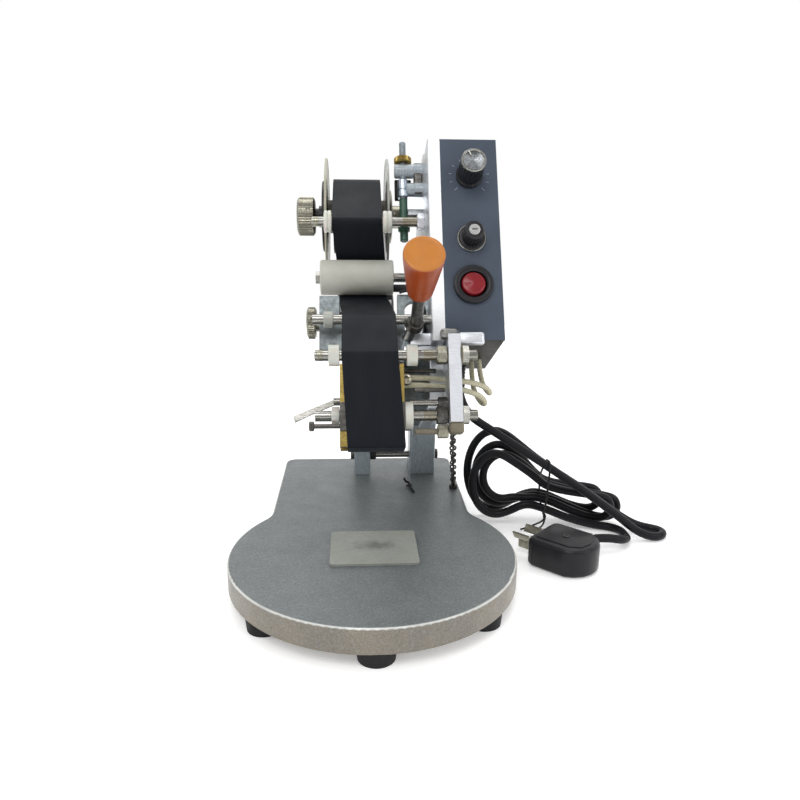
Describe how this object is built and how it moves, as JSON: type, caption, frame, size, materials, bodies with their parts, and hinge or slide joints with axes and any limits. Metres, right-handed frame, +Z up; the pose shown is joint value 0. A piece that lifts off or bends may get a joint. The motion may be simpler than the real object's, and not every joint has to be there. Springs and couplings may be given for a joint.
{
  "type": "hot stamp date coder",
  "caption": "Hand-operated hot-stamp date coder: a tilting print head with ribbon reels, heater, control box and orange handle over a round base with a pad.",
  "frame": {"origin": "on the surface it stands on, under the middle of the machine's box without its cord", "axes": "+Z up, the operator and the stamp pad at -Y, the tail and the pivot at +Y, the control box at +X"},
  "size_m": [0.3382, 0.3032, 0.2966],
  "materials": {
    "base_paint": "hammertone",
    "bare_aluminium": "brushed",
    "polished_steel": "polished",
    "dark_steel": "blackened",
    "box_paint": "fine texture",
    "brass": "worn",
    "nickel": "satin",
    "rubber_black": "matt",
    "pad_rubber": "matt",
    "grip_plastic": "glossy",
    "red_plastic": "glossy",
    "black_plastic": "satin",
    "white_plastic": "satin",
    "reel_plastic": "satin",
    "ribbon_film": "satin",
    "feed_rubber": "matt",
    "grey_rubber": "matt",
    "lead_sleeve": "woven",
    "cord_rubber": "satin"
  },
  "bodies": {
    "base": {"base_plate": "base_paint", "foot_front": "rubber_black", "foot_left": "rubber_black", "foot_right": "rubber_black", "foot_tail_left": "rubber_black", "foot_tail_right": "rubber_black", "stamp_pad": "pad_rubber", "post_left": "polished_steel", "post_right": "polished_steel", "pivot_shaft": "polished_steel", "tie_rod": "polished_steel", "return_spring": "dark_steel", "chain_anchor": "dark_steel", "chain": "polished_steel", "cord": "cord_rubber", "cord_hank": "cord_rubber", "cord_tail": "cord_rubber", "plug": "black_plastic"},
    "head": {"head_arm": "dark_steel", "side_plate": "bare_aluminium", "control_box": "box_paint", "box_panel": "box_paint", "switch_bezel": "black_plastic", "link_plate": "bare_aluminium", "guide_upper": "polished_steel", "guide_middle": "polished_steel", "guide_front": "polished_steel", "guide_lower": "polished_steel", "collar_front_left": "white_plastic", "collar_front_right": "white_plastic", "collar_lower_left": "white_plastic", "collar_lower_right": "white_plastic", "heater_block": "brass", "type_clamp": "dark_steel", "handle_rod": "dark_steel", "handle_grip": "grip_plastic", "ribbon_upper": "ribbon_film", "ribbon_lower": "ribbon_film", "adjuster_bracket": "dark_steel", "adjuster_rod": "polished_steel", "lead_front": "lead_sleeve", "lead_back": "lead_sleeve", "strain_relief": "black_plastic"},
    "upper_reel": {"upper_spool": "reel_plastic", "upper_roll": "ribbon_film", "upper_knob": "nickel"},
    "lower_reel": {"lower_spool": "reel_plastic", "lower_roll": "ribbon_film", "lower_knob": "nickel"},
    "feed": {"feed_roller": "feed_rubber", "feed_axle": "polished_steel"},
    "presser": {"press_roller": "grey_rubber"},
    "heat_dial": {"temp_knob": "black_plastic"},
    "fuse": {"fuse_cap": "black_plastic"},
    "rocker": {"power_button": "red_plastic"},
    "tension_nut": {"adjuster_nut": "brass"},
    "ratchet_lever": {"feed_lever": "dark_steel"},
    "type_tray": {"type_holder": "brass"},
    "clamp_lever": {"type_lever": "polished_steel"},
    "clamp_screw": {"lock_screw": "brass"}
  },
  "joints": [
    {"name": "head_tilt", "type": "hinge", "parent": "base", "child": "head", "pos_m": [0, 0.09344, 0.074], "axis": [1, 0, 0], "range_deg": [0, 26], "stiffness_Nm_per_rad": 2.4, "springref_deg": -80.21, "deforming": ["chain", "cord"]},
    {"name": "upper_reel_spin", "type": "hinge", "parent": "head", "child": "upper_reel", "pos_m": [-0.009, 0.10656, 0.24005], "axis": [1, 0, 0], "continuous": true},
    {"name": "lower_reel_spin", "type": "hinge", "parent": "head", "child": "lower_reel", "pos_m": [-0.009, 0.09442, 0.15585], "axis": [1, 0, 0], "continuous": true},
    {"name": "feed_spin", "type": "hinge", "parent": "head", "child": "feed", "pos_m": [-0.009, 0.05086, 0.19657], "axis": [1, 0, 0], "continuous": true},
    {"name": "presser_spin", "type": "hinge", "parent": "head", "child": "presser", "pos_m": [0, 0.07135, 0.18657], "axis": [1, 0, 0], "continuous": true},
    {"name": "heat_dial_turn", "type": "hinge", "parent": "head", "child": "heat_dial", "pos_m": [0.0691, 0.02249, 0.27071], "axis": [0, -0.8988, 0.4384], "range_deg": [0, 270]},
    {"name": "fuse_pull", "type": "slide", "parent": "head", "child": "fuse", "axis": [0, -0.8988, 0.4384], "range_m": [0, 0.028]},
    {"name": "rocker_press", "type": "hinge", "parent": "head", "child": "rocker", "pos_m": [0.0691, -0.00688, 0.19636], "axis": [1, 0, 0], "range_deg": [0, 14]},
    {"name": "tension_turn", "type": "hinge", "parent": "head", "child": "tension_nut", "pos_m": [0.026, 0.08186, 0.28181], "axis": [0, 0.4384, 0.8988], "continuous": true},
    {"name": "ratchet_swing", "type": "hinge", "parent": "head", "child": "ratchet_lever", "pos_m": [0.0591, 0.0006, 0.10037], "axis": [1, 0, 0], "range_deg": [-15, 0]},
    {"name": "type_draw", "type": "slide", "parent": "head", "child": "type_tray", "axis": [-1, 0, 0], "range_m": [0, 0.045]},
    {"name": "clamp_swing", "type": "hinge", "parent": "head", "child": "clamp_lever", "pos_m": [-0.024, -0.03702, 0.12361], "axis": [1, 0, 0], "range_deg": [0, 30]},
    {"name": "clamp_screw_turn", "type": "hinge", "parent": "head", "child": "clamp_screw", "pos_m": [-0.039, -0.05632, 0.11255], "axis": [1, 0, 0], "continuous": true}
  ],
  "couplings": [
    {"joint": "presser_spin", "follows": "feed_spin", "ratio": -1.4444},
    {"joint": "ratchet_swing", "follows": "head_tilt", "ratio": -0.5}
  ]
}
